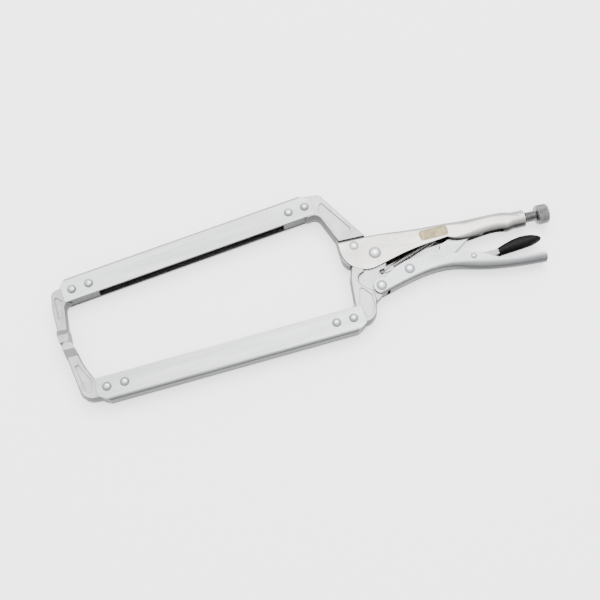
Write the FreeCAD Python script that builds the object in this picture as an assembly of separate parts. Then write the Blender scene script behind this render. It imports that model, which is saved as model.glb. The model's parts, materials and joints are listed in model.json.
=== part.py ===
import FreeCAD, Part
import math
import os

# Locking C clamp of the 18 inch class, lying flat on its side.
# Drawing frame: the main pivot is the origin, +X runs back along the adjusting screw, +Y goes
# up to the fixed jaw and Z is the clamp's thickness, with 0 at its middle plane. At the end the
# whole clamp is moved so that its box stands centred on the origin, with its lowest face at Z 0.

# ---- driving dimensions, mm ----
RUNNING_GAP = 0.05          # radial clearance of every pin and of the screw

# pins and rivets: centre of each in the side view, and its shank
MAIN_PIN_R = 4.0            # the main pivot itself is at the origin
JAW_PIN = (-2.1, -31.8)     # moving jaw to lower handle
JAW_PIN_R = 3.5
LINK_PIN = (26.3, -22.3)    # link to lower handle
LINK_PIN_R = 3.5
LEVER_PIN = (85.5, -23.8)   # release lever to lower handle
LEVER_PIN_R = 1.8
JAW_RIVET = (-16.5, 11.0)   # fixed jaw to the cheeks
RIVET_SHANK = 3.0
RIVET_HEAD = (4.0, 2.4)     # radius and height of the channel rivets' heads

# upper handle: two cheeks, a spine and a tube in one pressed sheet
SHEET_HALF = 7.0            # half width over the cheeks
SHEET_WALL = 1.8
CHEEK_CROWN = [(-45, 18.2, 3.0), (-30, 18.2, 3.0), (-15, 18.2, 3.0), (0, 18.1, 3.0),
               (14, 17.2, 3.0), (32, 15.5, 3.2), (52, 14.4, 3.4), (68, 14.1, 3.8)]
                            # x, top edge, radius of its corners
TUBE = [(68, 14.1, 3.8, 0.1, 0.4), (74, 14.05, 4.8, -3.2, 1.8), (81, 14.0, 6.2, -4.9, 4.2),
        (90, 13.9, 6.7, -5.3, 6.2), (124, 13.3, 6.7, -5.3, 6.6)]    # and the same at the bottom
SLOT_X = (66.0, 79.0, 121.0)            # the tube's slot for the link: start, full depth, end
SLOT_HALF = 3.7
WEB_START_X = -6.0          # in front of this the cheeks are open at the top
COLLAR_X = (130.5, 141.8)
COLLAR_R = 7.7

# adjusting screw
SCREW_Y = 3.7               # height of its axis over the main pivot
SCREW_R = 5.0               # M10 rod
SCREW_TIP_X = 106.4
INSERT_R = 6.0
KNOB_X = (154.0, 165.0)
KNOB_R = 9.1
TENON_R = 3.5

# forged jaws and tips
JAW_HALF = 7.5              # half thickness of the jaws outside the cheeks
HUB_HALF = 5.0              # the same between the cheeks
HUB_R = 12.0
TIP_HALF = 7.0
PAD_HALF = 10.5             # half width of the clamping pads
DRAFT = 0.8                 # how far a forging's side leans in from its parting line

# channel arms: start of the open edge, its slope, and the cut corners at front and rear
CHANNEL_W = 15.5
CHANNEL_D = 22.2
CHANNEL_WALL = 2.0
CHANNEL_BEND = 3.0
UPPER_CHANNEL = {"start": (-277.6, 17.9), "angle": 7.74, "length": 237.5, "side": 1,
                 "chamfers": ((6.2, 6.2), (10.5, 6.6))}
LOWER_CHANNEL = {"start": (-264.5, -57.1), "angle": 2.72, "length": 240.0, "side": -1,
                 "chamfers": ((9.5, 6.4), (9.0, 5.6))}
CHANNEL_RIVETS = ((9.2, 24.8), (214.5, 230.1))    # along each channel, front pair and rear pair
RIVET_DEPTH = 9.7           # of their centres, from the open edge
TONGUE_HALF = 5.7           # the forgings' tongues inside the channels
TONGUE_LENGTH = 31.0

# lower handle, link and release lever
HANDLE_HALF = 7.2           # half width over the lower handle
HANDLE_WALL = 2.0
HANDLE_KEEL = [(-20, -43.6, 2.6), (5, -37.3, 2.6), (30, -30.9, 2.8), (52, -27.9, 3.4),
               (66, -28.9, 4.6), (84, -33.9, 6.9), (104, -38.0, 6.9), (128, -40.6, 6.9),
               (152, -42.0, 6.9)]       # x, bottom edge, radius of its corners
HANDLE_WEB_X = 5.0
LINK_HALF = 3.0
LINK_NOSE = (100.5, 1.0)    # centre of the link's round end, which bears on the screw's tip
LINK_NOSE_R = 3.5
LEVER_HALF = 4.0
LEVER_TAIL = [(108, -22.0), (130, -18.0, 30), (143.5, -17.4, 1.4), (145.5, -20.4, 1.2),
              (130, -22.4, 40), (108, -24.8)]       # the narrow end inside the grip
TAIL_HALF = 2.6
GRIP_HALF = 5.4

# tension spring, from a hole in the moving jaw to a pin inside the upper handle
SPRING_HOOK = (1.6, -19.2)
HOOK_HOLE_R = 1.3
HOOK_WEB_HALF = 1.2
HOOK_REACH = 4.8            # from the hook's hole to where the wire leaves the lug's edge
SPRING_PIN = (70.0, 7.2)
ANCHOR_R = 1.5
SPRING_R = 2.7
SPRING_WIRE_R = 0.5
COIL_SPAN = (13.4, 60.0)    # where the close-wound part lies, measured from the hook

Z = FreeCAD.Vector(0, 0, 1)


# ---- outlines and solids ----
def vec(x, y, z=0.0):
    return FreeCAD.Vector(x, y, z)


def rounded_outline(corners):
    """Closed wire through corners (x, y) or (x, y, radius), rounded by an arc at each radius."""
    points = [vec(c[0], c[1]) for c in corners]
    starts, mids, ends = [], [], []
    for i, corner in enumerate(corners):
        here = points[i]
        back = (points[i - 1] - here).normalize()
        ahead = (points[(i + 1) % len(points)] - here).normalize()
        radius = corner[2] if len(corner) > 2 else 0.0
        half = back.getAngle(ahead) / 2
        reach = radius / math.tan(half)
        starts.append(here + back * reach)
        ends.append(here + ahead * reach)
        bisector = (back + ahead).normalize() if radius else vec(0, 0)
        mids.append(here + bisector * (radius / math.sin(half) - radius))
    edges = []
    for i, corner in enumerate(corners):
        if len(corner) > 2:
            edges.append(Part.Arc(starts[i], mids[i], ends[i]).toShape())
        run = (ends[i], starts[(i + 1) % len(points)])
        if run[0].distanceToPoint(run[1]) > 1e-6:
            edges.append(Part.makeLine(*run))
    return Part.Wire(edges)


def one_solid(shape):
    """The solid itself where a cut or a fuse has wrapped it in a compound."""
    return shape.Solids[0] if len(shape.Solids) == 1 else shape


def plate(corners, half):
    """Flat plate with the given outline, half thick each side of the middle plane."""
    return slab(rounded_outline(corners), -half, half)


def slab(wire, z0, z1):
    face = Part.Face(wire)
    face.translate(vec(0, 0, z0))
    return face.extrude(Z * (z1 - z0))


def forging(corners, half, rim=1.0):
    """Plate whose sides lean in from the parting line at mid thickness, with rounded rims."""
    wire = rounded_outline(corners)
    inner = wire.makeOffset2D(-DRAFT)
    top = inner.copy()
    top.translate(vec(0, 0, half))
    upper = Part.makeLoft([wire, top], True, True)
    rims = [e for e in upper.Edges if all(abs(v.Z - half) < 1e-6 for v in e.Vertexes)]
    upper = upper.makeFillet(rim, rims)
    return upper.fuse(upper.mirror(vec(0, 0), Z)).removeSplitter()


def pin(centre, radius, z0, z1):
    return Part.makeCylinder(radius, z1 - z0, vec(centre[0], centre[1], z0), Z)


def dome(centre, radius, height, base):
    """Rivet head: a cap of a ball, standing on the plane z = base."""
    ball_r = (radius * radius + height * height) / (2 * height)
    ball = Part.makeSphere(ball_r, vec(centre[0], centre[1], base + height - ball_r))
    return ball.common(pin(centre, radius + 1, base, base + height + 1))


def rivet(centre, shank_r, head_r, head_h, base):
    """Shank with a domed head on both sides of the work, which is 2 x base thick."""
    head = dome(centre, head_r, head_h, base)
    other = head.mirror(vec(0, 0), Z)
    return pin(centre, shank_r, -base, base).fuse([head, other]).removeSplitter()


def along_x(corners, x0, x1):
    """Bar along X whose cross-section is given as (y, z) corners."""
    wire = rounded_outline(corners)
    wire.transformShape(FreeCAD.Matrix(0, 0, 1, x0, 1, 0, 0, 0, 0, 1, 0, 0, 0, 0, 0, 1))
    return Part.Face(wire).extrude(vec(x1 - x0, 0))


def arch_section(x, half, y_open, y_crown, crown_r, open_r=0.3):
    """Cross-section at x: straight sides, the corners by y_crown rounded to crown_r."""
    wire = rounded_outline([(y_open, -half, open_r), (y_open, half, open_r),
                            (y_crown, half, crown_r), (y_crown, -half, crown_r)])
    wire.transformShape(FreeCAD.Matrix(0, 0, 1, x, 1, 0, 0, 0, 0, 1, 0, 0, 0, 0, 0, 1))
    return wire


def eased(stations, spans=24):
    """More stations along a smooth curve through the given ones."""
    pairs = [(x, values) for x, *values in stations]
    curves = []
    for i in range(len(pairs[0][1])):
        curve = Part.BSplineCurve()
        curve.interpolate([vec(x, values[i]) for x, values in pairs])
        curves.append(curve)
    x0, x1 = pairs[0][0], pairs[-1][0]
    places = [x0 + (x1 - x0) * i / spans for i in range(spans + 1)]
    across = [Part.Plane(vec(x, 0), vec(1, 0)) for x in places]
    return [(x, *(curve.intersect(plane)[0][0].Y for curve in curves))
            for x, plane in zip(places, across)]


def arch(stations, half, y_open, inset=0.0):
    """Bar lofted through stations (x, y_crown, crown_r); inset makes the hollow inside it."""
    away = 1 if stations[0][1] > y_open else -1
    sections = [arch_section(x, half - inset, y_open, crown - away * inset, radius - inset)
                for x, crown, radius in eased(stations)]
    return Part.makeLoft(sections, True, True)


def tube(stations, half, inset=0.0):
    """The same with a round bottom too, through (x, y_crown, crown_r, y_low, low_r)."""
    sections = [arch_section(x, half - inset, low + inset, crown - inset,
                             crown_r - inset, max(low_r - inset, 0.2))
                for x, crown, crown_r, low, low_r in eased(stations)]
    return Part.makeLoft(sections, True, True)


# ---- the two channel arms ----
def in_channel(channel, shape):
    """Put a shape drawn along a channel (X along, +Y towards its web) in its place."""
    if channel["side"] < 0:
        shape = shape.mirror(vec(0, 0), vec(0, 1, 0))
    shape = shape.copy()
    shape.rotate(vec(0, 0), Z, channel["angle"])
    shape.translate(vec(*channel["start"]))
    return shape


def channel_point(channel, along, depth):
    """Where a point drawn along a channel lies in the clamp."""
    turn = math.radians(channel["angle"])
    across = depth * channel["side"]
    x = channel["start"][0] + along * math.cos(turn) - across * math.sin(turn)
    y = channel["start"][1] + along * math.sin(turn) + across * math.cos(turn)
    return (x, y)


def channel_outline(channel):
    """Side outline of a channel: its web corners are cut off at both ends."""
    (front_x, front_y), (rear_x, rear_y) = channel["chamfers"]
    length = channel["length"]
    return [(0, 0), (length, 0), (length, CHANNEL_D - rear_y), (length - rear_x, CHANNEL_D),
            (front_x, CHANNEL_D), (0, CHANNEL_D - front_y)]


def rivet_places(channel, pair):
    return [channel_point(channel, along, RIVET_DEPTH) for along in CHANNEL_RIVETS[pair]]


def drilled(shape, channel, pairs):
    for pair in pairs:
        for place in rivet_places(channel, pair):
            shape = shape.cut(pin(place, RIVET_SHANK, -PAD_HALF, PAD_HALF))
    return shape


def make_channel(channel):
    half = CHANNEL_W / 2
    bar = along_x([(0, -half), (CHANNEL_D, -half, CHANNEL_BEND), (CHANNEL_D, half, CHANNEL_BEND),
                   (0, half)], 0, channel["length"])
    inner = CHANNEL_BEND - CHANNEL_WALL
    floor = CHANNEL_D - CHANNEL_WALL
    inside = half - CHANNEL_WALL
    hollow = along_x([(-1, -inside), (floor, -inside, inner), (floor, inside, inner),
                      (-1, inside)], -1, channel["length"] + 1)
    bar = bar.cut(hollow).common(plate(channel_outline(channel), half))
    return drilled(in_channel(channel, bar), channel, (0, 1))


def channel_envelope(channel):
    return in_channel(channel, plate(channel_outline(channel), PAD_HALF + 1))


def tongue(channel, x0, x1):
    """The part of a forging that is riveted inside the channel."""
    floor = CHANNEL_D - CHANNEL_WALL - 0.8
    body = plate([(x0, 0.4, 1), (x1, 0.4, 1), (x1, floor, 3), (x0, floor, 3)], TONGUE_HALF)
    return in_channel(channel, body.common(plate(channel_outline(channel), TONGUE_HALF)))


def with_panel(shape, corners, half, depth=1.0):
    """Sink a recessed panel in both faces of a forging."""
    for z0, z1 in ((half - depth, half + 1), (-half - 1, -half + depth)):
        shape = shape.cut(slab(rounded_outline(corners), z0, z1))
    return shape


# ---- upper handle: fixed cheeks, spine and tube ----
def cheek_outline():
    """Side outline of the cheeks; its top edge is set by the crown instead."""
    end_x, end_y = TUBE[0][0], TUBE[0][3]
    return rounded_outline([(-30.0, 25), (-29.3, -20.4, 22.4), (34.8, -3.4, 250),
                            (end_x, end_y), (end_x, 25)])


def tube_slot():
    """Opens the tube's bottom for the link: as wide as the hollow in front, then narrower."""
    start, full, end = SLOT_X
    wide = SHEET_HALF - SHEET_WALL
    wire = Part.makePolygon([vec(start, -12, -wide), vec(full, -12, -SLOT_HALF),
                             vec(end, -12, -SLOT_HALF), vec(end, -12, SLOT_HALF),
                             vec(full, -12, SLOT_HALF), vec(start, -12, wide),
                             vec(start, -12, -wide)])
    return Part.Face(wire).extrude(vec(0, 14))


def make_upper_handle():
    side = slab(cheek_outline(), -SHEET_HALF - 1, SHEET_HALF + 1)
    body = arch(CHEEK_CROWN, SHEET_HALF, -30).common(side).fuse(tube(TUBE, SHEET_HALF))
    # the tube's end is closed in to a round collar over the insert
    low, high, bend = SCREW_Y - COLLAR_R, SCREW_Y + COLLAR_R, COLLAR_R - 0.2
    end_x, crown, crown_r, tube_low, low_r = TUBE[-1]
    sections = [arch_section(end_x, SHEET_HALF, tube_low, crown, crown_r, low_r)]
    sections += [arch_section(x, COLLAR_R, low, high, bend, bend) for x in COLLAR_X]
    body = body.fuse(Part.makeLoft(sections, True, True))
    body = body.cut(arch(CHEEK_CROWN, SHEET_HALF, -31, SHEET_WALL))
    body = body.cut(tube(TUBE, SHEET_HALF, SHEET_WALL)).cut(tube_slot())
    bore = Part.makeCylinder(INSERT_R, 30, vec(COLLAR_X[0] - 9, SCREW_Y), vec(1, 0))
    body = body.cut(bore)
    # the fixed jaw comes out between the cheeks where there is no spine
    body = body.cut(Part.makeBox(60, 30, 2 * (SHEET_HALF - SHEET_WALL),
                                 vec(WEB_START_X - 60, 5, SHEET_WALL - SHEET_HALF)))
    body = body.cut(pin((0, 0), MAIN_PIN_R, -9, 9)).cut(pin(JAW_RIVET, RIVET_SHANK, -9, 9))
    for side_z in (1, -1):
        dimple = Part.makeSphere(4.0, vec(136.2, SCREW_Y + 1.5, side_z * 11.2))
        body = body.cut(dimple)
    return body.removeSplitter()


def make_insert():
    tube = Part.makeCylinder(INSERT_R, 14.3, vec(128.0, SCREW_Y), vec(1, 0))
    bore = Part.makeCylinder(SCREW_R + RUNNING_GAP, 20, vec(125.0, SCREW_Y), vec(1, 0))
    return tube.cut(bore)


def turned(profile):
    """Solid of revolution about the screw's axis, from (x, r) corners."""
    points = [vec(x, SCREW_Y + r) for x, r in profile]
    wire = Part.makePolygon(points + points[:1])
    return Part.Face(wire).revolve(vec(0, SCREW_Y), vec(1, 0), 360)


def make_screw():
    return turned([(SCREW_TIP_X, 0), (SCREW_TIP_X, SCREW_R - 1), (SCREW_TIP_X + 1, SCREW_R),
                   (KNOB_X[0] - 0.2, SCREW_R), (KNOB_X[0] - 0.2, TENON_R),
                   (KNOB_X[1] - 2.2, TENON_R), (KNOB_X[1] - 2.2, 0)])


def make_knob():
    bevel = 1.3
    bore = TENON_R + RUNNING_GAP
    return turned([(KNOB_X[0], bore), (KNOB_X[0], KNOB_R - bevel), (KNOB_X[0] + bevel, KNOB_R),
                   (KNOB_X[1] - bevel, KNOB_R), (KNOB_X[1], KNOB_R - bevel), (KNOB_X[1], 0),
                   (KNOB_X[1] - 2.0, 0), (KNOB_X[1] - 2.0, bore)])


# ---- fixed jaw, upper arm and its tip ----
def make_fixed_jaw():
    body = forging([(-53, 69.5, 3), (-35.0, 68.4, 8), (1.0, 10.0), (-26.7, 10.0),
                    (-41.3, 47.9, 6), (-53, 46.4, 3)], JAW_HALF)
    body = with_panel(body, [(-35.9, 60.6, 2), (-14.6, 27.4, 2.2), (-17.4, 25.6, 1.5),
                             (-29.8, 25.4, 2.5), (-40.2, 51.6, 3)], JAW_HALF)
    above_cheeks = Part.makeBox(80, 80, 30, vec(-80, 18.5, -15))
    body = body.common(above_cheeks).cut(channel_envelope(UPPER_CHANNEL))
    inside = SHEET_HALF - SHEET_WALL - 0.05
    tail = plate([(-30.6, 22, 1), (-29.8, -3.5, 14), (-21.0, -9.6, 2), (-10, -13.5), (12, 10),
                  (5.0, 15.3, 1), (-6.2, 15.5, 0.5), (-6.2, 22)], inside)
    tail = tail.cut(pin((0, 0), HUB_R + 0.4, -9, 9)).cut(behind_moving_jaw())
    arm = tongue(UPPER_CHANNEL, UPPER_CHANNEL["length"] - TONGUE_LENGTH,
                 UPPER_CHANNEL["length"] + 4)
    root = in_channel(UPPER_CHANNEL, plate(
        [(UPPER_CHANNEL["length"] - 1, 0.4), (UPPER_CHANNEL["length"] + 5, 0.4),
         (UPPER_CHANNEL["length"] + 5, 15), (UPPER_CHANNEL["length"] - 1, 15)], TONGUE_HALF))
    body = body.fuse([tail, arm, root]).removeSplitter()
    body = drilled(body, UPPER_CHANNEL, (1,))
    return body.cut(pin(JAW_RIVET, RIVET_SHANK, -9, 9))


def behind_moving_jaw():
    """Room for the moving jaw's shoulder, which swings down and back from here."""
    return plate([(-24.5, -6.8), (-24.5, -20), (0, -20), (0, -6.8)], 10)


def make_upper_tip():
    top = UPPER_CHANNEL["start"]
    outline = [(top[0] + 6, 35.8), (-289.3, 30.4, 7), (-290.5, 12, 90), (-288.0, -19.3, 1),
               (-279.6, -19.3, 1), (-277.9, 16.9, 6), (top[0] + 6, 18.6)]
    body = forging(outline, TIP_HALF)
    pad = [(-289.4, -7.0), (-288.0, -19.3, 0.8), (-279.6, -19.3, 0.8), (-278.9, -7.0)]
    body = body.fuse(flared(pad, (-7.0, -12.4)))
    body = with_panel(body, [(-286.7, 26.4, 1.6), (-279.6, 19.6, 1), (-281.6, 3.4, 1),
                             (-285.6, 3.4, 1)], TIP_HALF)
    body = body.cut(channel_envelope(UPPER_CHANNEL))
    body = body.fuse(tongue(UPPER_CHANNEL, -4, TONGUE_LENGTH)).removeSplitter()
    return drilled(body, UPPER_CHANNEL, (0,))


def flared(corners, rise):
    """Clamping pad: its sides spread from the arm's width to the pad's between two heights."""
    block = plate(corners, PAD_HALF)
    y_arm, y_pad = rise
    spread = along_section([(y_arm, TIP_HALF), (y_pad, PAD_HALF)])
    return block.common(spread)


def along_section(slope):
    """Wide bar along X with the pad's side section, from the arm's edge to past the pad."""
    (y_arm, half_arm), (y_pad, half_pad) = slope
    end = y_pad + 20 * (1 if y_pad > y_arm else -1)
    points = [(y_arm, half_arm), (y_pad, half_pad), (end, half_pad), (end, -half_pad),
              (y_pad, -half_pad), (y_arm, -half_arm)]
    wire = Part.makePolygon([vec(-320, y, z) for y, z in points + points[:1]])
    return Part.Face(wire).extrude(vec(80, 0))


# ---- moving jaw, lower arm and its tip ----
def make_moving_jaw():
    body = forging([(-23.6, -6.4, 2.6), (-28.2, -20, 20), (-30.6, -49, 3), (-38, -50, 3),
                    (-38, -60.5, 3), (-26.0, -63.4, 6), (-13.6, -60.5, 12), (-9.0, -42, 10),
                    (-10.2, -34.6, 2.6), (-21.3, -25.0, 6), (-19.2, -18.0, 5),
                    (-9.8, -14.4, 2.6)], JAW_HALF)
    body = with_panel(body, [(-21.4, -27.6, 2), (-12.4, -38.4, 2), (-12.9, -50.0, 8),
                             (-16.5, -57.2, 4), (-22.3, -58.5, 2), (-26.2, -45.0, 10)], JAW_HALF)
    clear_of_cheeks = slab(cheek_outline().makeOffset2D(0.5), -JAW_HALF - 1, JAW_HALF + 1)
    body = body.cut(channel_envelope(LOWER_CHANNEL)).cut(clear_of_cheeks)
    hub = pin((0, 0), HUB_R, -HUB_HALF, HUB_HALF)
    lug = pin(JAW_PIN, 6.9, -HUB_HALF, HUB_HALF)
    neck = plate([(-8.5, -8.5), (-19.6, -12.6), (-24, -22), (-24, -40), (-9, -44),
                  (-2.1, -38.7, 1), (4.8, -31.8, 4), (4.6, -17.0, 12), (11.0, -4.5),
                  (0, 0)], HUB_HALF)
    arm = tongue(LOWER_CHANNEL, LOWER_CHANNEL["length"] - TONGUE_LENGTH,
                 LOWER_CHANNEL["length"] + 4)
    root = in_channel(LOWER_CHANNEL, plate(
        [(LOWER_CHANNEL["length"] - 6, -3), (LOWER_CHANNEL["length"] + 5, -3),
         (LOWER_CHANNEL["length"] + 5, 15), (LOWER_CHANNEL["length"] - 6, 15)], TONGUE_HALF))
    body = body.fuse([hub, lug, neck, arm, root]).removeSplitter()
    body = drilled(body, LOWER_CHANNEL, (1,))
    body = body.cut(pin((0, 0), MAIN_PIN_R + RUNNING_GAP, -9, 9))
    body = body.cut(pin(JAW_PIN, JAW_PIN_R + RUNNING_GAP, -9, 9))
    return body.cut(pin(SPRING_HOOK, HOOK_HOLE_R, -9, 9)).cut(hook_recess())


def hook_recess():
    """Thins the lug to a web on both sides of the hook's hole, out to the lug's edge."""
    x, y = SPRING_HOOK
    wire = rounded_outline([(x - 2.6, y - 2.2, 1.8), (x + 9, y - 1.6), (x + 8, y + 4.4),
                            (x - 2.2, y + 2.6, 1.8)])
    return slab(wire, HOOK_WEB_HALF, 9).fuse(slab(wire, -9, -HOOK_WEB_HALF))


def make_lower_tip():
    end = LOWER_CHANNEL["start"]
    outline = [(-287.2, -19.5, 4.5), (-278.0, -19.5, 4.5), (-270.2, -44.0, 60),
               (-263.2, -57.6, 2), (end[0] + 6, -57.6), (end[0] + 6, -75.5), (-277.0, -74.2, 12)]
    body = forging(outline, TIP_HALF)
    pad = [(-287.2, -19.5, 4.5), (-278.0, -19.5, 4.5), (-274.2, -32), (-284.6, -34)]
    body = body.fuse(flared(pad, (-33.0, -26.4)))
    body = with_panel(body, [(-278.9, -41.9, 1.6), (-275.6, -41.2, 1.6), (-266.6, -57.6, 2),
                             (-267.4, -70.0, 2), (-273.4, -66.4, 3)], TIP_HALF)
    body = body.cut(channel_envelope(LOWER_CHANNEL))
    body = body.fuse(tongue(LOWER_CHANNEL, -4, TONGUE_LENGTH)).removeSplitter()
    return drilled(body, LOWER_CHANNEL, (0,))


# ---- lower handle and what it carries ----
def make_lower_handle():
    side = plate([(-2.1, -39.0, 1), (5, -37.9), (30, -50), (144, -45), (150.2, -42.0, 3.6),
                  (150.2, -34.3, 3.6), (120, -33.2, 60), (108.5, -30.9, 16), (90, -20.6, 14),
                  (82, -18.5, 12), (64, -16.6, 60), (40, -13.6, 20), (26, -13.9, 14),
                  (14, -17.8, 14), (1.6, -25.6, 3)], HANDLE_HALF + 1)
    side = side.fuse(pin(JAW_PIN, 7.2, -HANDLE_HALF - 1, HANDLE_HALF + 1))
    body = arch(HANDLE_KEEL, HANDLE_HALF, 0).common(side)
    body = body.cut(arch(HANDLE_KEEL, HANDLE_HALF, 1, HANDLE_WALL))
    front = HANDLE_HALF - HANDLE_WALL
    body = body.cut(Part.makeBox(30, 40, 2 * front, vec(HANDLE_WEB_X - 30, -60, -front)))
    for place, radius in ((JAW_PIN, JAW_PIN_R), (LINK_PIN, LINK_PIN_R),
                          (LEVER_PIN, LEVER_PIN_R)):
        body = body.cut(pin(place, radius, -9, 9))
    return body


def make_link():
    nose_x = LINK_NOSE[0] + LINK_NOSE_R
    nose_y = (LINK_NOSE[1] - LINK_NOSE_R, LINK_NOSE[1] + LINK_NOSE_R)
    body = plate([(20.0, -28.4, 6), (32, -28.2), (60.0, -22.4, 7), (90.4, -2.0, 5),
                  (nose_x, nose_y[0], 3.4), (nose_x, nose_y[1], 3.4), (84, nose_y[1], 14),
                  (64, -3.4), (50, -9.2), (38, -13.2, 14), (20.0, -16.2, 6)], LINK_HALF)
    body = body.cut(pin((54.8, -6.6), 4.6, -9, 9))
    return body.cut(pin(LINK_PIN, LINK_PIN_R + RUNNING_GAP, -9, 9))


def make_lever():
    nose = [(62.6, -22.4, 1.4), (72, -21.2, 6), (84, -19.9, 10), (98, -21.4, 8),
            (112, -21.4), (112, -25.4), (100, -27.4, 12), (78, -27.2, 8), (64.2, -25.2, 1.4)]
    body = plate(nose, LEVER_HALF).fuse(plate(LEVER_TAIL, TAIL_HALF)).removeSplitter()
    return body.cut(pin(LEVER_PIN, LEVER_PIN_R + RUNNING_GAP, -9, 9))


def make_grip():
    body = plate([(110.6, -19.0, 1.2), (121, -16.7, 30), (135.0, -13.2, 12), (147, -14.7, 6),
                  (153.6, -18.2, 2.6), (148.0, -23.9, 7), (134, -25.1, 30), (120, -27.0, 20),
                  (110.6, -28.0, 1.2)], GRIP_HALF)
    rims = [e for e in body.Edges if abs(abs(e.CenterOfMass.z) - GRIP_HALF) < 1e-6]
    body = body.makeFillet(1.8, rims)
    return body.cut(make_lever())


# ---- spring, its anchor, and the blank plate ----
def make_spring():
    hook = vec(*SPRING_HOOK)
    line = (vec(*SPRING_PIN) - hook).normalize()
    coil_start = hook + line * COIL_SPAN[0]
    coil_end = hook + line * COIL_SPAN[1]
    length = COIL_SPAN[1] - COIL_SPAN[0]
    coil = Part.makeCylinder(SPRING_R, length, coil_start, line)
    coil = coil.cut(Part.makeCylinder(SPRING_R - 2 * SPRING_WIRE_R, length - 2,
                                      coil_start + line, line))
    front = Part.makeCylinder(SPRING_WIRE_R, COIL_SPAN[0] - HOOK_REACH + 0.2,
                              hook + line * HOOK_REACH, line)
    reach = (vec(*SPRING_PIN) - coil_end).Length - ANCHOR_R - 0.2
    rear = Part.makeCylinder(SPRING_WIRE_R, reach, coil_end - line * 0.2, line)
    return coil.fuse([front, rear]).removeSplitter()


def make_anchor_pin():
    inside = SHEET_HALF - SHEET_WALL
    return pin(SPRING_PIN, ANCHOR_R, -inside, inside)


def make_blank_plate():
    wire = rounded_outline([(43.6, 1.0, 2.6), (69.6, 1.9, 2.6), (69.2, 11.4, 2.6), (43.4, 11.0, 2.6)])
    return slab(wire, SHEET_HALF, SHEET_HALF + 0.4)


def channel_rivet_set(channel, pair):
    base = CHANNEL_W / 2
    return Part.makeCompound([rivet(place, RIVET_SHANK, *RIVET_HEAD, base)
                              for place in rivet_places(channel, pair)])


def build():
    return {
        "upper_handle": make_upper_handle(),
        "threaded_insert": make_insert(),
        "adjusting_screw": make_screw(),
        "screw_knob": make_knob(),
        "fixed_jaw": make_fixed_jaw(),
        "fixed_jaw_rivet": rivet(JAW_RIVET, RIVET_SHANK, 4.2, 1.5, SHEET_HALF),
        "main_pivot_rivet": rivet((0, 0), MAIN_PIN_R, 5.6, 2.6, SHEET_HALF),
        "upper_channel": make_channel(UPPER_CHANNEL),
        "upper_jaw_tip": make_upper_tip(),
        "upper_tip_rivets": channel_rivet_set(UPPER_CHANNEL, 0),
        "upper_rear_rivets": channel_rivet_set(UPPER_CHANNEL, 1),
        "moving_jaw": make_moving_jaw(),
        "lower_channel": make_channel(LOWER_CHANNEL),
        "lower_jaw_tip": make_lower_tip(),
        "lower_tip_rivets": channel_rivet_set(LOWER_CHANNEL, 0),
        "lower_rear_rivets": channel_rivet_set(LOWER_CHANNEL, 1),
        "lower_handle": make_lower_handle(),
        "handle_pivot_rivet": rivet(JAW_PIN, JAW_PIN_R, 4.7, 2.2, HANDLE_HALF),
        "toggle_link": make_link(),
        "link_pivot_rivet": rivet(LINK_PIN, LINK_PIN_R, 4.7, 2.2, HANDLE_HALF),
        "release_lever": make_lever(),
        "lever_grip": make_grip(),
        "lever_rivet": rivet(LEVER_PIN, LEVER_PIN_R, 2.6, 1.3, HANDLE_HALF),
        "tension_spring": make_spring(),
        "spring_anchor_pin": make_anchor_pin(),
        "maker_plate": make_blank_plate(),
    }


parts = build()
box = Part.makeCompound(list(parts.values())).optimalBoundingBox()
shift = vec(-(box.XMin + box.XMax) / 2, -(box.YMin + box.YMax) / 2, -box.ZMin)
os.makedirs("parts", exist_ok=True)
for node, shape in parts.items():
    shape = one_solid(shape)
    shape.translate(shift)
    shape.exportStep("parts/" + node + ".step")
print("moved by", [round(value, 3) for value in shift])
print("size", round(box.XLength, 2), round(box.YLength, 2), round(box.ZLength, 2))
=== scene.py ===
import json
import math

import bmesh
import bpy
from mathutils import Matrix, Vector


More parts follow.
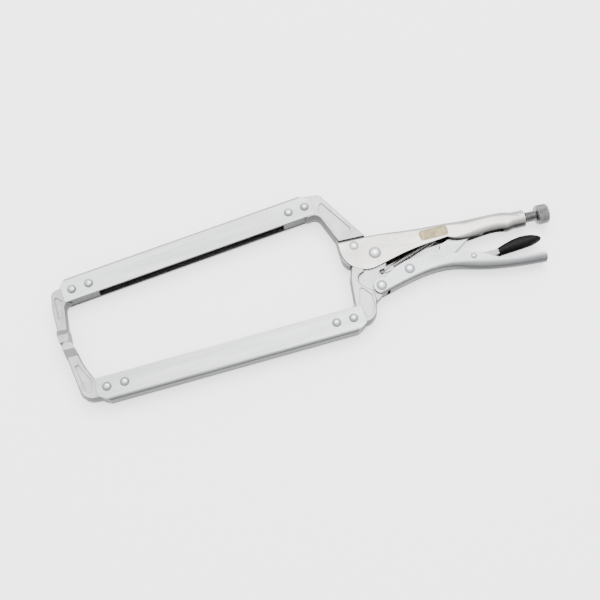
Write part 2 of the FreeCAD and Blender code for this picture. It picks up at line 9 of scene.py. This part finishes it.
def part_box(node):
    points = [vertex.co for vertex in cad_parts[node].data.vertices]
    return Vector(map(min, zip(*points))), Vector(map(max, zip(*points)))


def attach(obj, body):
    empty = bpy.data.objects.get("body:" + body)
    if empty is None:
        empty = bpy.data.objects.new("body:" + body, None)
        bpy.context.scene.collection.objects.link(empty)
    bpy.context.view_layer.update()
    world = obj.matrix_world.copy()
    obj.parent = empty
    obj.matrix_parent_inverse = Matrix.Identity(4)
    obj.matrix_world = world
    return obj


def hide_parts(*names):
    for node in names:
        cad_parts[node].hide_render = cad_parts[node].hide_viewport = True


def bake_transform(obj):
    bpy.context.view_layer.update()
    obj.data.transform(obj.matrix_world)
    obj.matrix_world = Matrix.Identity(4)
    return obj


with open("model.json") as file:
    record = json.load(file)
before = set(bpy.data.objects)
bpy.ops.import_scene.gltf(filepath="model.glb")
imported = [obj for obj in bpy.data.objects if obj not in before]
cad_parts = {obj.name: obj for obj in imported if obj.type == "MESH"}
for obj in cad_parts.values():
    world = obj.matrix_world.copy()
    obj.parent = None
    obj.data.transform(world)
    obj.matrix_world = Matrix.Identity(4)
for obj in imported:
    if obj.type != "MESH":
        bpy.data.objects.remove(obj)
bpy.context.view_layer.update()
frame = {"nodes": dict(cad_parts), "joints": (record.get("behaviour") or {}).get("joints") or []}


# ======================================================================================
# Upper handle: one pressed sheet of 1.8 mm steel, folded over into two flat cheeks at the
# front and rolled into a round tube at the back, then shot-blasted and nickel plated.
# The sheet's grain and the soft sheen of the plating are made here for every steel piece.
# ======================================================================================
class Value:
    """A socket in a material; arithmetic on it adds the Math nodes."""

    def __init__(self, finish, socket):
        self.finish = finish
        self.socket = socket

    def maths(self, operation, *values):
        return self.finish.node("ShaderNodeMath", {"operation": operation},
                                dict(enumerate(values)))

    def __abs__(self):
        return self.maths("ABSOLUTE", self)

    def __add__(self, other):
        return self.maths("ADD", self, other)

    def __radd__(self, other):
        return self.maths("ADD", other, self)

    def __sub__(self, other):
        return self.maths("SUBTRACT", self, other)

    def __rsub__(self, other):
        return self.maths("SUBTRACT", other, self)

    def __mul__(self, other):
        return self.maths("MULTIPLY", self, other)

    def __rmul__(self, other):
        return self.maths("MULTIPLY", other, self)

    def __truediv__(self, other):
        return self.maths("DIVIDE", self, other)

    def __rtruediv__(self, other):
        return self.maths("DIVIDE", other, self)

    def __pow__(self, other):
        return self.maths("POWER", self, other)


class Finish:
    """One material: constants stand on the shader's own sockets, the rest is linked to it."""

    def __init__(self, name, **constants):
        self.material = bpy.data.materials.new(name)
        self.material.use_nodes = True
        self.tree = self.material.node_tree
        self.shader = self.tree.nodes["Principled BSDF"]
        for socket, value in constants.items():
            self.shader.inputs[socket.replace("_", " ")].default_value = value

    def node(self, kind, settings=None, inputs=None, output=0):
        """Add a node: its settings first, then the value or link of each named socket."""
        made = self.tree.nodes.new(kind)
        for name, value in (settings or {}).items():
            setattr(made, name, value)
        for socket, value in (inputs or {}).items():
            if isinstance(value, Value):
                self.tree.links.new(value.socket, made.inputs[socket])
            else:
                made.inputs[socket].default_value = value
        return Value(self, made.outputs[output])

    def place(self, scale=(1, 1, 1), turn=0.0):
        """Object coordinates turned about Z and stretched."""
        here = self.node("ShaderNodeTexCoord", output="Object")
        return self.node("ShaderNodeMapping", {"vector_type": "TEXTURE"},
                         {"Vector": here, "Rotation": (0, 0, turn),
                          "Scale": tuple(1 / s for s in scale)})

    def noise(self, where, scale, detail=3.0, roughness=0.55):
        return self.node("ShaderNodeTexNoise", None,
                         {"Vector": where, "Scale": scale, "Detail": detail,
                          "Roughness": roughness})

    def ramp(self, value, low, high):
        """0 under low, 1 over high, straight between them."""
        return self.node("ShaderNodeMapRange", {"clamp": True},
                         {"Value": value, "From Min": low, "From Max": high})

    def mix(self, share, first, second):
        return self.node("ShaderNodeMix", {"data_type": "RGBA"},
                         {"Factor": share, "A": first, "B": second}, output="Result")

    def feed(self, **links):
        for socket, value in links.items():
            self.tree.links.new(value.socket, self.shader.inputs[socket.replace("_", " ")])

    def crevice(self, reach, samples):
        """1 on open faces, falling to 0 where something stands close over them."""
        return self.node("ShaderNodeAmbientOcclusion", {"samples": samples},
                         {"Distance": reach}, output="AO")

    def rounded_edges(self, radius):
        """Normals as if every edge were broken to this radius."""
        return self.node("ShaderNodeBevel", {"samples": 4}, {"Radius": radius})

    def bump(self, height, strength, distance, normal=None):
        links = {"Height": height, "Strength": strength, "Distance": distance}
        if normal:
            links["Normal"] = normal
        return self.node("ShaderNodeBump", None, links)


SEAM_SHADE_REACH = 0.0022         # how far from a joint between two pieces the painted shade reaches
HOLLOW_SHADE_REACH = 0.030        # how deep a hollow is before painted shade darkens it
BROKEN_EDGE = 0.0003        # radius of every tumbled edge


def plated_steel(name, colour, side_shade_colour, roughness, grain, streak=(1, 1, 1), turn=0.0,
                 hollow_shade_strength=1.0):
    """Nickel over blasted or rolled steel. Faces that stand across the sheet get painted shade,
    darker and less metallic, and painted shade darkens deep hollows and joints between pieces.
    grain is the height of the blasting, in metres; the last sets how dark the hollows' painted
    shade is."""
    steel = Finish(name, Specular_IOR_Level=0.35)
    here = steel.place(streak, turn=turn)
    cloud = steel.noise(here, 30, 2)
    smudge = steel.noise(here, 190, 5, 0.65)
    blast = steel.noise(steel.place(), 2100, 4, 0.6)
    facing = steel.node("ShaderNodeSeparateXYZ", None,
                        {0: steel.node("ShaderNodeTexCoord", output="Normal")}, output="Z")
    # Painted shade: faces that stand across the sheet, turned away from Z, are mixed towards the
    # side colour and lose most of their metal, as if the light from above hardly reached them.
    across = steel.ramp(abs(facing), 0.92, 0.55)
    shade = steel.ramp(cloud + smudge * 0.7 + blast * 0.45, 0.92, 1.26)
    dark = [c * 0.74 for c in colour]
    light = [min(1.0, c * 1.10) for c in colour]
    face = steel.mix(shade, (*dark, 1), (*light, 1))
    # Painted shade: ambient occlusion darkens the colour towards dark grey close to joints
    # between pieces.
    seam_shade = steel.crevice(SEAM_SHADE_REACH, 5)
    # Painted shade: ambient occlusion darkens the colour nearly to black deep in hollows, scaled
    # by the last argument.
    hollow_shade = steel.crevice(HOLLOW_SHADE_REACH, 5)
    side_shaded = steel.mix(across * 0.95, face, (*side_shade_colour, 1))
    seam_shaded = steel.mix(steel.ramp(seam_shade, 0.88, 0.45) * 0.72, side_shaded, (0.09, 0.09, 0.09, 1))
    steel.feed(Base_Color=steel.mix(steel.ramp(hollow_shade, 0.50, 0.22) * hollow_shade_strength, seam_shaded,
                                    (0.030, 0.026, 0.024, 1)),
               Metallic=0.94 - across * 0.80,
               Roughness=steel.ramp(smudge, 0.25, 0.8) * 0.12 + blast * 0.08
               + (roughness - 0.10),
               Normal=steel.bump(blast, 1.0, grain, steel.rounded_edges(BROKEN_EDGE)))
    return steel.material


def wear(node, material):
    """Give a node of the frame its finish."""
    mesh = frame["nodes"][node].data
    mesh.materials.clear()
    mesh.materials.append(material)


# Painted shade colour for the side faces of the pressed sheet pieces.
PAINTED_SIDE_SHADE = (0.028, 0.030, 0.033)
SHEET_STREAK = (0.5, 1.4, 1)
satin_nickel = plated_steel("satin_nickel", (0.50, 0.488, 0.465), PAINTED_SIDE_SHADE, 0.32, 0.000012,
                            streak=SHEET_STREAK)
wear("upper_handle", satin_nickel)

# ======================================================================================
# Blank plate: a thin pale brass plate stuck on the upper handle's cheek, stamped with a
# plain raised rim round a sunk, finely brushed field. It carries no lettering.
# ======================================================================================
PLATE_CORNER = 0.0026
PLATE_RIM = 0.0008
PLATE_STEP = 0.00032        # width of the slope from the rim down to the field
PLATE_SUNK = 0.0002
PLATE_SHARE = 0.93          # its own height over that of the box round it, as it leans a little
PLATE_LEAN = math.radians(1.0)


def kept(items, kind):
    """The vertices, edges or faces among what an operation returns."""
    return [item for item in items if isinstance(item, kind)]


def finished_piece(name, mesh, material, body, replaced=(), smooth=True):
    """Turn a bmesh into a piece that rides on a body and stands for its node."""
    bmesh.ops.remove_doubles(mesh, verts=mesh.verts, dist=1e-7)
    bmesh.ops.recalc_face_normals(mesh, faces=mesh.faces)
    for face in mesh.faces:
        face.smooth = smooth
    data = bpy.data.meshes.new(name)
    mesh.to_mesh(data)
    mesh.free()
    data.materials.append(material)
    piece = bpy.data.objects.new(name, data)
    bpy.context.scene.collection.objects.link(piece)
    if body:
        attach(piece, body)
    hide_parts(*replaced)
    return piece


def pale_brass():
    brass = Finish("pale_brass", Metallic=0.75)
    brushed = brass.noise(brass.place((0.05, 1, 1)), 1400, 4)
    shade = brass.ramp(brass.noise(brass.place(), 260, 3) + brushed * 0.4, 0.45, 0.9)
    brass.feed(Base_Color=brass.mix(shade, (0.15, 0.12, 0.06, 1), (0.29, 0.25, 0.15, 1)),
               Roughness=brushed * 0.2 + 0.28,
               Normal=brass.bump(brushed, 0.6, 0.00001))
    return brass.material


plate_low, plate_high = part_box("maker_plate")
plate_centre = (plate_low + plate_high) / 2
plate = bmesh.new()
bmesh.ops.create_grid(plate, x_segments=1, y_segments=1, size=0.5)
bmesh.ops.scale(plate, verts=plate.verts,
                vec=(plate_high.x - plate_low.x, (plate_high.y - plate_low.y) * PLATE_SHARE, 1))
bmesh.ops.rotate(plate, verts=plate.verts, matrix=Matrix.Rotation(PLATE_LEAN, 3, "Z"))
bmesh.ops.bevel(plate, geom=plate.verts[:], offset=PLATE_CORNER, segments=6, profile=0.5,
                affect="VERTICES", material=-1)
raised = bmesh.ops.extrude_face_region(plate, geom=plate.faces[:])["geom"]
top = kept(raised, bmesh.types.BMFace)
bmesh.ops.translate(plate, verts=kept(raised, bmesh.types.BMVert),
                    vec=(0, 0, plate_high.z - plate_low.z))
bmesh.ops.inset_region(plate, faces=top, thickness=PLATE_RIM, depth=0)
bmesh.ops.inset_region(plate, faces=top, thickness=PLATE_STEP, depth=-PLATE_SUNK)
bmesh.ops.translate(plate, verts=plate.verts,
                    vec=(plate_centre.x, plate_centre.y, plate_low.z))
finished_piece("blank_plate", plate, pale_brass(), "frame", ["maker_plate"],
               smooth=False)

# ======================================================================================
# Fixed jaw: a steel forging riveted between the cheeks, with a recessed panel and a slight
# draft from the parting line. Forgings are shot-blasted coarser than the sheet, then plated.
# ======================================================================================
# The second colour is painted shade for the side faces; the last value weakens the painted shade
# in the hollows.
forged_nickel = plated_steel("forged_nickel", (0.40, 0.402, 0.402), (0.045, 0.047, 0.050), 0.42,
                             0.00003, hollow_shade_strength=0.3)
wear("fixed_jaw", forged_nickel)

# ======================================================================================
# Channel arms: two lengths of 2 mm strip rolled to a channel. The rolling leaves faint
# streaks along each arm, so each has its own finish turned to its slope.
# ======================================================================================
UPPER_ARM_SLOPE = math.radians(7.74)
LOWER_ARM_SLOPE = math.radians(2.72)
for node, slope in (("upper_channel", UPPER_ARM_SLOPE), ("lower_channel", LOWER_ARM_SLOPE)):
    # The second colour is painted shade for the side faces.
    wear(node, plated_steel("rolled_" + node, (0.43, 0.438, 0.445), (0.026, 0.028, 0.031), 0.32,
                            0.000006, streak=(0.12, 1.6, 1), turn=slope))

# ======================================================================================
# Jaw tips: forged like the jaws, each with a tongue riveted into its channel and a wide
# clamping pad at the end that meets the other.
# ======================================================================================
for node in ("upper_jaw_tip", "lower_jaw_tip"):
    wear(node, forged_nickel)

# ======================================================================================
# Rivets: domed steel rivets, pressed over on both sides and bright plated with the clamp.
# ======================================================================================
# The second colour is painted shade for the side faces.
bright_rivet = plated_steel("bright_rivet", (0.74, 0.77, 0.80), (0.05, 0.055, 0.06), 0.20,
                            0.000004)
for node in ("upper_tip_rivets", "upper_rear_rivets", "lower_tip_rivets", "lower_rear_rivets",
             "fixed_jaw_rivet", "main_pivot_rivet", "handle_pivot_rivet", "link_pivot_rivet",
             "lever_rivet", "spring_anchor_pin"):
    wear(node, bright_rivet)

# ======================================================================================
# Moving jaw: the forging that turns on the main pivot, with its hub between the cheeks.
# ======================================================================================
wear("moving_jaw", forged_nickel)

# ======================================================================================
# Lower handle and toggle link: the handle is a pressed channel with its keel downwards, the
# link a flat bar that runs from the handle to the tip of the adjusting screw.
# ======================================================================================
cool_nickel = plated_steel("cool_nickel", (0.40, 0.412, 0.418), PAINTED_SIDE_SHADE, 0.34,
                           0.000012, streak=SHEET_STREAK)
wear("lower_handle", cool_nickel)
wear("toggle_link", cool_nickel)

# ======================================================================================
# Release lever: a pressed steel lever inside the lower handle, zinc plated, with its tail
# dipped in soft black vinyl. The dip is thickest in the middle and has no edges.
# ======================================================================================
# The second colour is painted shade for the side faces.
zinc_lever = plated_steel("zinc_lever", (0.30, 0.305, 0.31), (0.08, 0.08, 0.085), 0.36, 0.000008)
wear("release_lever", zinc_lever)

GRIP_HALF_WIDTH = 0.0055
GRIP_SECTIONS = (0, 0.02, 0.12, 0.24, 0.36, 0.48, 0.60, 0.72, 0.84, 0.95, 1)
GRIP_SIDES = 12
GRIP_LAP = 0.0010           # how far the dip runs forward over the lever's wider part


def pin_of(joint):
    """Where a joint's pin stands in the clamp."""
    return Vector(next(j for j in frame["joints"] if j["name"] == joint)["pos_m"])


def grip_shape(share):
    """Height of the dip's centre over the lever's pin, and half its own height."""
    centre = 0.0004 + 0.0046 * math.sin(min(1.0, share * 1.35) * math.pi / 2)
    plump = 0.0041 + 0.0022 * math.sin(math.pi * min(1.0, share * 1.02) ** 1.1)
    return centre, plump


def black_vinyl():
    vinyl = Finish("black_vinyl", Specular_IOR_Level=0.10)
    here = vinyl.place()
    skin = vinyl.noise(here, 900, 4, 0.6)
    scuff = vinyl.ramp(vinyl.noise(here, 240, 4), 0.5, 0.75)
    vinyl.feed(Base_Color=vinyl.mix(scuff, (0.004, 0.004, 0.0045, 1), (0.010, 0.010, 0.011, 1)),
               Roughness=scuff * 0.12 + 0.36,
               Normal=vinyl.bump(skin, 0.5, 0.00003))
    return vinyl.material


lever_pin = pin_of("release_pivot")
grip_low, grip_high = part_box("lever_grip")
grip_length = grip_high.x - grip_low.x + 0.2 * GRIP_LAP
grip = bmesh.new()
rings = []
for share in GRIP_SECTIONS:
    centre, plump = grip_shape(share)
    taper = math.sqrt(max(0.0, 1 - max(0.0, (share - 0.72) / 0.30) ** 2.4))
    place = Vector((grip_low.x - GRIP_LAP + grip_length * share,
                    lever_pin.y + centre, lever_pin.z))
    shape = Matrix.Diagonal((GRIP_HALF_WIDTH * taper, plump * taper, 1, 1))
    across = Matrix.Rotation(math.radians(90), 4, "Y")
    ring = bmesh.ops.create_circle(grip, segments=GRIP_SIDES, radius=1,
                                   matrix=Matrix.Translation(place) @ across @ shape)["verts"]
    rings.append({edge for vert in ring for edge in vert.link_edges})
for first, second in zip(rings, rings[1:]):
    bmesh.ops.bridge_loops(grip, edges=[*first, *second])
for end, edge_width in ((rings[0], 0.0002), (rings[-1], 0.0006)):   # crisp front, soft tail
    cap = bmesh.ops.contextual_create(grip, geom=list(end))["faces"]
    bmesh.ops.inset_region(grip, faces=cap, thickness=edge_width, depth=0)
lever_grip = finished_piece("dipped_grip", grip, black_vinyl(), "lever",
                            ["lever_grip"])
rounding = lever_grip.modifiers.new("rounding", "SUBSURF")
rounding.levels = 3
rounding.render_levels = 3

# ======================================================================================
# Threaded insert and adjusting screw: a zinc-plated M10 rod with a cut thread and a turned
# dog point, running in an insert that the handle's collar is crimped onto.
# ======================================================================================
PITCH = 0.0015
POINT_LENGTH = 0.0012
POINT_TAPER = 0.72          # radius of the point's flat end over the thread's
KNOB_OVERLAP = 0.0002       # how far the rod runs into the knob
THREAD_DEPTH = 0.00092
THREAD_STEPS = 28
THREAD_PROFILE = ((0, 0), (0, 0.12), (1, 0.50), (1, 0.62), (0, 1))   # height, along one pitch
GROOVE_SHADE_REACH = 0.0008       # how far up a groove's sides the painted shade in it reaches
screw_low, screw_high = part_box("adjusting_screw")
screw_axis = (screw_low + screw_high) / 2
screw_r = (screw_high.y - screw_low.y) / 2
knob_low, knob_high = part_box("screw_knob")
knob_r = (knob_high.y - knob_low.y) / 2


def dull_zinc(name, brightness):
    zinc = Finish(name, Metallic=1.0)
    here = zinc.place()
    fine = zinc.noise(here, 1700, 4)
    patch = zinc.ramp(zinc.noise(here, 220, 4), 0.35, 0.75)
    # Painted shade: ambient occlusion darkens the colour deep in the thread's and knurl's
    # grooves.
    groove_shade = zinc.crevice(GROOVE_SHADE_REACH, 6)
    dark = tuple(brightness * c for c in (0.62, 0.63, 0.64))
    light = tuple(brightness * c for c in (1.0, 1.0, 1.0))
    face = zinc.mix(patch, (*dark, 1), (*light, 1))
    zinc.feed(Base_Color=zinc.mix(zinc.ramp(groove_shade, 0.8, 0.35) * 0.6, face,
                                  (0.07, 0.07, 0.07, 1)),
              Roughness=fine * 0.2 + 0.24,
              Normal=zinc.bump(fine, 0.5, 0.00001))
    return zinc.material


def along_screw(mesh, start_x):
    """Lay a shape made about Z on the screw's axis, with its base at start_x."""
    bmesh.ops.rotate(mesh, verts=mesh.verts, matrix=Matrix.Rotation(math.radians(90), 3, "Y"))
    bmesh.ops.translate(mesh, verts=mesh.verts, vec=(start_x, screw_axis.y, screw_axis.z))


def capped_at(mesh, height, keep_below):
    """Cut a shape across Z and close the cut."""
    cut = bmesh.ops.bisect_plane(mesh, geom=[*mesh.verts, *mesh.edges, *mesh.faces],
                                 plane_co=(0, 0, height), plane_no=(0, 0, 1),
                                 clear_outer=keep_below, clear_inner=not keep_below)
    rim = kept(cut["geom_cut"], bmesh.types.BMEdge)
    return bmesh.ops.contextual_create(mesh, geom=rim)["faces"]


thread_length = knob_low.x - screw_low.x + KNOB_OVERLAP
thread = bmesh.new()
turns = math.ceil(thread_length / PITCH) + 3
root_r = screw_r - THREAD_DEPTH
profile = [thread.verts.new((screw_r if crest else root_r, 0, share * PITCH - 2 * PITCH))
           for crest, share in THREAD_PROFILE]
flank = [thread.edges.new(pair) for pair in zip(profile, profile[1:])]
bmesh.ops.spin(thread, geom=[*profile, *flank], cent=(0, 0, 0), axis=(0, 0, 1),
               dvec=(0, 0, PITCH / THREAD_STEPS), angle=math.tau * turns,
               steps=THREAD_STEPS * turns)
bmesh.ops.remove_doubles(thread, verts=thread.verts, dist=1e-6)
capped_at(thread, thread_length, True)
tip = capped_at(thread, POINT_LENGTH, False)
point = bmesh.ops.extrude_face_region(thread, geom=tip)["geom"]
bmesh.ops.delete(thread, geom=tip, context="FACES_ONLY")
bmesh.ops.scale(thread, verts=kept(point, bmesh.types.BMVert), vec=(POINT_TAPER, POINT_TAPER, 0))
along_screw(thread, screw_low.x)
zinc = dull_zinc("zinc_screw", 0.30)
finished_piece("cut_thread", thread, zinc, "screw", ["adjusting_screw"],
               smooth=False)
wear("threaded_insert", zinc)

# ======================================================================================
# Knob: turned from bar and pressed on the rod, its rim rolled with a diamond knurl between
# two chamfers.
# ======================================================================================
KNURL_COLUMNS = 84
KNURL_ROWS = 14
KNURL_DEPTH = 0.00026
KNOB_CHAMFER = 0.0011
KNOB_LAND = 0.0012          # flat ring on each end face, round a shallow turned recess
KNOB_STEP = 0.0004
knob_length = knob_high.x - knob_low.x
rim_length = knob_length - 2 * KNOB_CHAMFER
knob = bmesh.new()
valley_r = knob_r - KNURL_DEPTH
bmesh.ops.create_cone(knob, cap_ends=True, segments=KNURL_COLUMNS, radius1=valley_r,
                      radius2=valley_r, depth=rim_length)
uprights = [e for e in knob.edges if abs(e.verts[0].co.z - e.verts[1].co.z) > rim_length / 2]
bmesh.ops.subdivide_edges(knob, edges=uprights, cuts=KNURL_ROWS - 1)
peaks, valleys = [], []
for vert in knob.verts:
    column = round(math.atan2(vert.co.y, vert.co.x) / math.tau * KNURL_COLUMNS)
    row = round((vert.co.z + rim_length / 2) / rim_length * KNURL_ROWS)
    (peaks if (column + row) % 2 and 0 < row < KNURL_ROWS else valleys).append(vert)
bmesh.ops.scale(knob, verts=peaks, vec=(knob_r / valley_r, knob_r / valley_r, 1))
caps = [face for face in knob.faces if len(face.verts) > 4]
bmesh.ops.connect_verts(knob, verts=valleys, faces_exclude=caps)
for cap in [face for face in knob.faces if len(face.verts) > 4]:
    bmesh.ops.inset_region(knob, faces=[cap], thickness=KNOB_CHAMFER, depth=KNOB_CHAMFER)
    bmesh.ops.inset_region(knob, faces=[cap], thickness=KNOB_LAND, depth=0)
    bmesh.ops.inset_region(knob, faces=[cap], thickness=KNOB_STEP, depth=-0.75 * KNOB_STEP)
along_screw(knob, (knob_low.x + knob_high.x) / 2)
finished_piece("knurled_knob", knob, dull_zinc("zinc_knob", 0.24), "knob",
               ["screw_knob"], smooth=False)

# ======================================================================================
# Tension spring: oil-hardened wire wound to a long coil, hooked through the moving jaw's lug
# at the front and round a pin inside the upper handle at the back. It pulls the jaw open.
# Hooks and coil are made as one mesh at rest, on no moving body.
# ======================================================================================
HOOK_FROM_PIVOT = Vector((0.0016, -0.0192, 0))
WIRE_R = 0.00052
COIL_R = 0.0022
COIL_START = 0.0134
COIL_END = 0.0600
COIL_PITCH = 0.00160
COIL_STEPS = 20
WIRE_SIDES = 8
hook = pin_of("jaw_pivot") + HOOK_FROM_PIVOT
anchor_low, anchor_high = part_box("spring_anchor_pin")
anchor = (anchor_low + anchor_high) / 2
anchor.z = hook.z
spring_line = (anchor - hook).normalized()
spring_length = (anchor - hook).length


def spring_steel():
    wire = Finish("spring_wire", Metallic=1.0)
    here = wire.place()
    oil = wire.ramp(wire.noise(here, 500, 3), 0.35, 0.7)
    wire.feed(Base_Color=wire.mix(oil, (0.13, 0.13, 0.13, 1), (0.38, 0.38, 0.38, 1)),
              Roughness=oil * 0.12 + 0.18,
              Normal=wire.bump(wire.noise(here, 2400, 3), 0.4, 0.00001))
    return wire.material


def bent_wire(points):
    """A length of round wire through smooth bends, as a mesh."""
    curve = bpy.data.curves.new("bent_wire", "CURVE")
    curve.dimensions = "3D"
    curve.bevel_depth = WIRE_R
    curve.bevel_resolution = 2
    curve.use_fill_caps = True
    spline = curve.splines.new("NURBS")
    spline.points.add(len(points) - 1)
    for target, point in zip(spline.points, points):
        target.co = (*point, 1)
    spline.order_u = 3
    spline.use_endpoint_u = True
    spline.resolution_u = 6
    holder = bpy.data.objects.new("bent_wire", curve)
    bpy.context.scene.collection.objects.link(holder)
    bpy.context.view_layer.update()
    made = bpy.data.meshes.new_from_object(holder)
    bpy.data.objects.remove(holder)
    return made


# The spring is made with its line along +Z from the hook's hole and the clamp's thickness
# along +X, then laid on its line: two legs run from the coil through the hole.
coil_turns = (COIL_END - COIL_START) / COIL_PITCH
spring = bmesh.new()
section = bmesh.ops.create_circle(spring, cap_ends=True, segments=WIRE_SIDES, radius=WIRE_R,
                                  matrix=Matrix.Translation((COIL_R, 0, COIL_START))
                                  @ Matrix.Rotation(math.radians(90), 4, "X"))["verts"]
bmesh.ops.spin(spring, geom=[*section, *{e for v in section for e in v.link_edges},
                             *spring.faces],
               cent=(0, 0, 0), axis=(0, 0, 1), angle=math.tau * coil_turns,
               dvec=(0, 0, COIL_PITCH / COIL_STEPS), steps=round(COIL_STEPS * coil_turns))
front_hook = [(0.0006, -COIL_R, COIL_START), (0.0012, -0.0022, COIL_START - 0.0012),
              (0.0014, -0.0016, 0.0095), (0.0017, -0.0005, 0.0040), (0.0024, 0, 0.0008),
              (0.0010, 0, -0.0001), (-0.0010, 0, -0.0001), (-0.0024, 0, 0.0008),
              (-0.0017, 0.0005, 0.0040), (-0.0014, 0.0016, 0.0095),
              (-0.0010, 0.0022, COIL_START - 0.0012), (-0.0006, COIL_R, COIL_START)]
spring.from_mesh(bent_wire(front_hook))
last_turn = math.tau * coil_turns
eye_r = (anchor_high.x - anchor_low.x) / 2 + WIRE_R     # the rear hook's eye round the pin
rear_hook = [(COIL_R * math.cos(last_turn), COIL_R * math.sin(last_turn), COIL_END),
             (0.0004, 0.0004, COIL_END + 0.0022), (0, eye_r * 0.6, spring_length - 0.0060)]
for degrees in range(180, -150, -45):
    angle = math.radians(degrees)
    rear_hook.append((0, eye_r * math.sin(angle + math.pi / 2) * 1.08,
                      spring_length + eye_r * math.cos(angle + math.pi / 2) * -1.08))
spring.from_mesh(bent_wire(rear_hook))
to_line = Matrix((Vector((0, 0, 1)), Vector((0, 0, 1)).cross(spring_line) * -1,
                  spring_line)).transposed().to_4x4()
bmesh.ops.transform(spring, verts=spring.verts, matrix=Matrix.Translation(hook) @ to_line)
coil_spring = finished_piece("coil_spring", spring, spring_steel(), None,
                             ["tension_spring"])
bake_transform(coil_spring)

# ======================================================================================
# The stand: a plain pale floor under the clamp, which lies on its side, soft studio light
# from above and behind, and the camera looking down from the open side of the clamp.
# ======================================================================================
FLOOR_HALF = 3.0
SKY_MIDDLE = (0.05, 0.33, 0.94)       # the soft light comes from above and behind
SKY_EDGE = 0.35                       # where the bright part of the sky begins to fade in
SKY_DARK = 1.05
SKY_BRIGHT = 3.2
floor_mesh = bmesh.new()
bmesh.ops.create_grid(floor_mesh, x_segments=1, y_segments=1, size=FLOOR_HALF)
floor_data = bpy.data.meshes.new("studio_floor")
floor_mesh.to_mesh(floor_data)
floor_mesh.free()
floor = bpy.data.objects.new("studio_floor", floor_data)
bpy.context.scene.collection.objects.link(floor)
paper = Finish("pale_paper", Roughness=0.9, Emission_Color=(1, 1, 1, 1),
               Emission_Strength=1.5)
paper.feed(Base_Color=paper.mix(paper.noise(paper.place(), 3.0), (0.90, 0.90, 0.90, 1),
                                (0.93, 0.93, 0.93, 1)))
floor_data.materials.append(paper.material)

world = bpy.data.worlds.new("studio")
world.use_nodes = True
sky = world.node_tree
toward = sky.nodes.new("ShaderNodeTexCoord")
lean = sky.nodes.new("ShaderNodeVectorMath")
lean.operation = "DOT_PRODUCT"
lean.inputs[1].default_value = SKY_MIDDLE
glow = sky.nodes.new("ShaderNodeMapRange")
glow.interpolation_type = "SMOOTHSTEP"
glow.inputs["From Min"].default_value = SKY_EDGE
glow.inputs["From Max"].default_value = 1.0
glow.inputs["To Min"].default_value = SKY_DARK
glow.inputs["To Max"].default_value = SKY_BRIGHT
sky.links.new(toward.outputs["Generated"], lean.inputs[0])
sky.links.new(lean.outputs["Value"], glow.inputs["Value"])
sky.links.new(glow.outputs["Result"], sky.nodes["Background"].inputs["Strength"])
sky.nodes["Background"].inputs["Color"].default_value = (1, 1, 1, 1)
bpy.context.scene.world = world


def soft_box(name, place, target, width, height, power):
    lamp = bpy.data.lights.new(name, "AREA")
    lamp.shape = "RECTANGLE"
    lamp.size = width
    lamp.size_y = height
    lamp.energy = power
    holder = bpy.data.objects.new(name, lamp)
    holder.location = place
    holder.rotation_euler = (Vector(target) - Vector(place)).to_track_quat("-Z", "Y").to_euler()
    bpy.context.scene.collection.objects.link(holder)


soft_box("overhead", (0.2, 0.5, 1.3), (0, 0, 0), 1.2, 1.0, 16)

eye = Vector((-0.0880, -0.3329, 0.8716))
look_at = Vector((-0.0135, -0.0251, 0.0200))
picture_right = Vector((0.9720, -0.2351, 0))
back = (eye - look_at).normalized()
right = (picture_right - back * picture_right.dot(back)).normalized()
up = back.cross(right)
camera_data = bpy.data.cameras.new("camera")
camera_data.lens = 62.04
camera_data.sensor_width = 36
camera_data.clip_start = 0.01
camera = bpy.data.objects.new("camera", camera_data)
turn = Matrix((right, up, back)).transposed().to_4x4()
camera.matrix_world = Matrix.Translation(eye) @ turn
bpy.context.scene.collection.objects.link(camera)
bpy.context.scene.camera = camera
